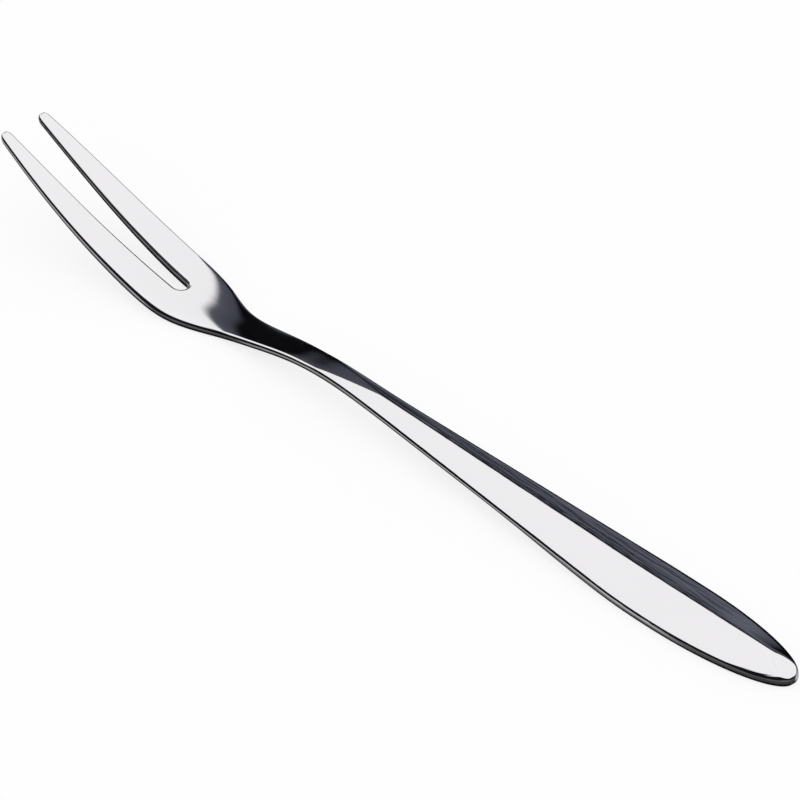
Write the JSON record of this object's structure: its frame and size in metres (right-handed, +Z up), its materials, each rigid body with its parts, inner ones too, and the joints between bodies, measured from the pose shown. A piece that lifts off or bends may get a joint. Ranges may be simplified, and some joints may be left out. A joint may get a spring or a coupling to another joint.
{
  "type": "oyster fork",
  "caption": "Slim oyster fork with a ridged teardrop handle, an arched neck and narrow upturned tines beside a tapered slot, for lifting shellfish out of the shell.",
  "frame": {"origin": "middle of the fork's length and width, on the table that it lies on", "axes": "+X from the handle's end to the tips of the tines, +Y to the fork's left, +Z up with the hollow side up"},
  "size_m": [0.1454, 0.0114, 0.0116],
  "materials": {
    "polished_stainless": "stainless steel, mirror polished, with duller blanked edges"
  },
  "bodies": {
    "root": {"handle": "polished_stainless", "neck": "polished_stainless", "head": "polished_stainless", "left_tine": "polished_stainless", "right_tine": "polished_stainless"}
  },
  "joints": []
}
